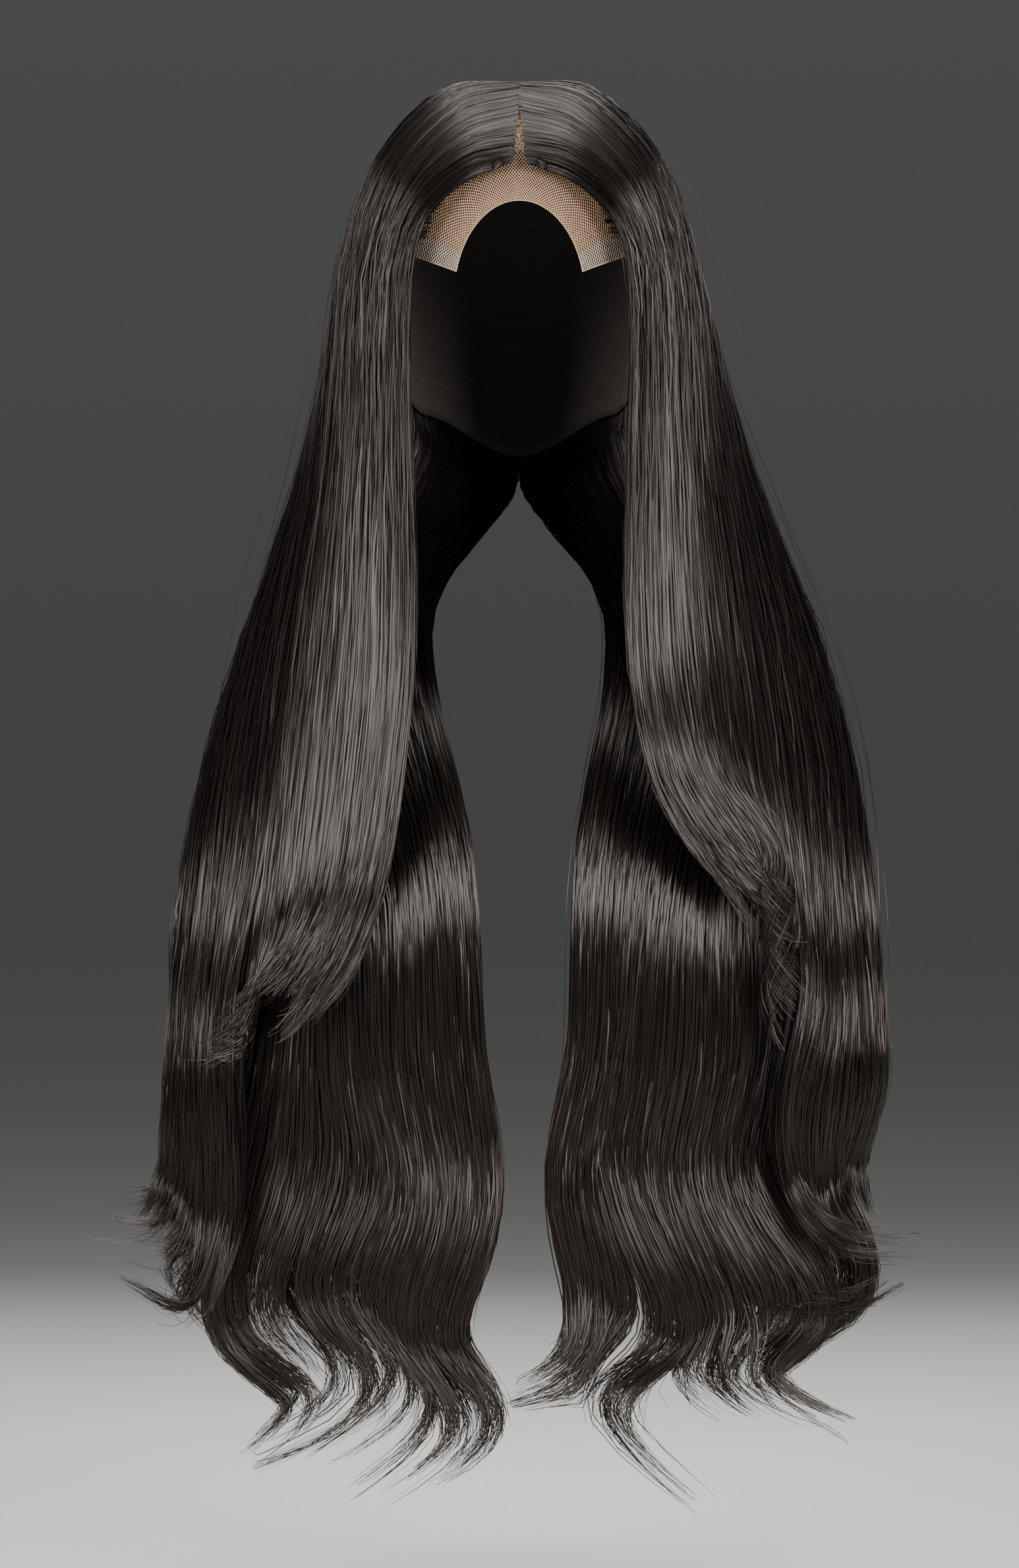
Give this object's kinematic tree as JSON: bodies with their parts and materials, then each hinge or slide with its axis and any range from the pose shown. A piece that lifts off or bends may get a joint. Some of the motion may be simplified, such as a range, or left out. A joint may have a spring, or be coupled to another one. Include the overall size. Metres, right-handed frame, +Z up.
{
  "type": "lace front wig",
  "caption": "Long dark brown centre-parted lace front wig, straight with waved ends, brought forward over both shoulders.",
  "frame": {"origin": "inside of the cap at the top of the head, where the wig sits on its wearer", "axes": "+Z up, face side towards -Y, +X to the right of a viewer who looks at the face"},
  "size_m": [0.3914, 0.2184, 0.7196],
  "materials": {
    "hair": "satin hair fibre, very dark brown",
    "lace": "sheer matt tan lace",
    "cap": "matt black stretch net"
  },
  "bodies": {
    "root": {"wig_cap": "cap", "lace_front": "lace", "front_hair_left": "hair", "front_hair_right": "hair", "back_hair_left": "hair", "back_hair_right": "hair"}
  },
  "joints": []
}
